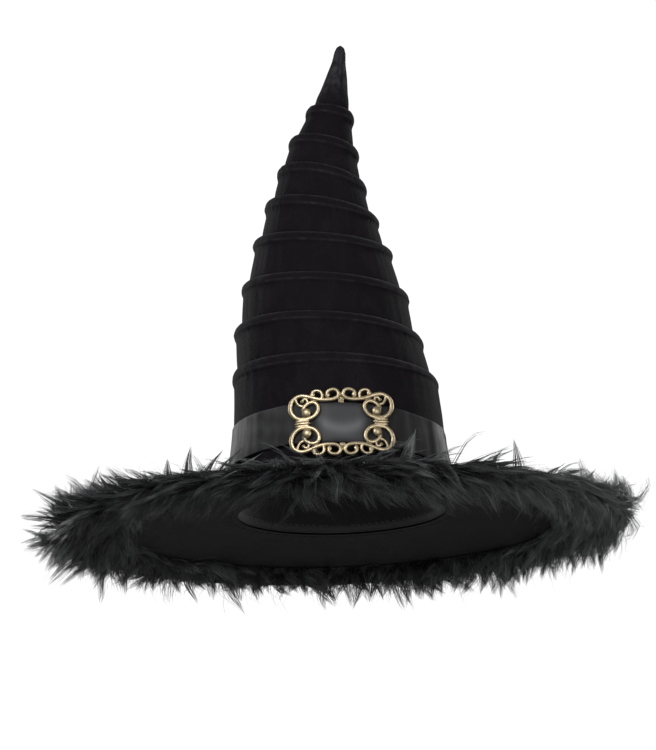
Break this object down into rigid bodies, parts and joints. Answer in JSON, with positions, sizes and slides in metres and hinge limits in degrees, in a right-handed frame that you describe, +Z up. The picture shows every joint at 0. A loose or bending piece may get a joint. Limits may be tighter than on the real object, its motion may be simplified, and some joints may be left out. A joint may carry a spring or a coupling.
{
  "type": "witch hat",
  "caption": "Tall crooked velvet witch hat with corded tucks, a wide fur-edged brim, and a satin ribbon threaded through a scrollwork buckle.",
  "frame": {"origin": "centre of the brim's footprint, on the surface that the hat stands on", "axes": "+Z up along the crown; the buckle faces -Y, the front; +X is the wearer's left"},
  "size_m": [0.5679, 0.568, 0.5011],
  "materials": {
    "velvet": "black cotton velvet with a soft sheen",
    "brim_facing": "black velvet, smoother than the fur",
    "foam": "black open-cell foam interlining",
    "lining": "black polyester satin lining",
    "sweatband": "black ribbed grosgrain",
    "thread": "black polyester thread",
    "cord": "black cotton piping cord",
    "brim_core": "stiff dark felt",
    "wire": "millinery wire",
    "fur_backing": "knitted backing",
    "fur": "black long-pile faux fur",
    "satin": "black satin with a soft gloss",
    "buckle_metal": "antique brass, dark in the recesses"
  },
  "bodies": {
    "hat": {"crown_velvet": "velvet", "crown_interlining": "foam", "crown_lining": "lining", "sweatband": "sweatband", "sweatband_stitches": "thread", "tuck_cord_2": "cord", "tuck_cord_3": "cord", "tuck_cord_4": "cord", "tuck_cord_5": "cord", "tuck_cord_6": "cord", "tuck_cord_7": "cord", "tuck_cord_8": "cord", "brim_top_velvet": "velvet", "brim_core": "brim_core", "brim_under_velvet": "brim_facing", "brim_edge_wire": "wire", "fur_backing": "fur_backing", "fur_pile": "fur", "hat_band": "satin", "band_stitches": "thread"},
    "tip": {"tip_velvet": "velvet", "tip_interlining": "foam", "tuck_cord_1": "cord"},
    "buckle": {"buckle_frame": "buckle_metal", "buckle_bar": "buckle_metal"}
  },
  "joints": [
    {"name": "tip_bend", "type": "hinge", "parent": "hat", "child": "tip", "pos_m": [-0.003, 0, 0.401], "axis": [0, 1, 0], "range_deg": [-30, 30], "stiffness_Nm_per_rad": 0.05},
    {"name": "buckle_slide", "type": "hinge", "parent": "hat", "child": "buckle", "pos_m": [0, 0, 0.099], "axis": [0, 0, 1], "range_deg": [-8, 8]}
  ]
}
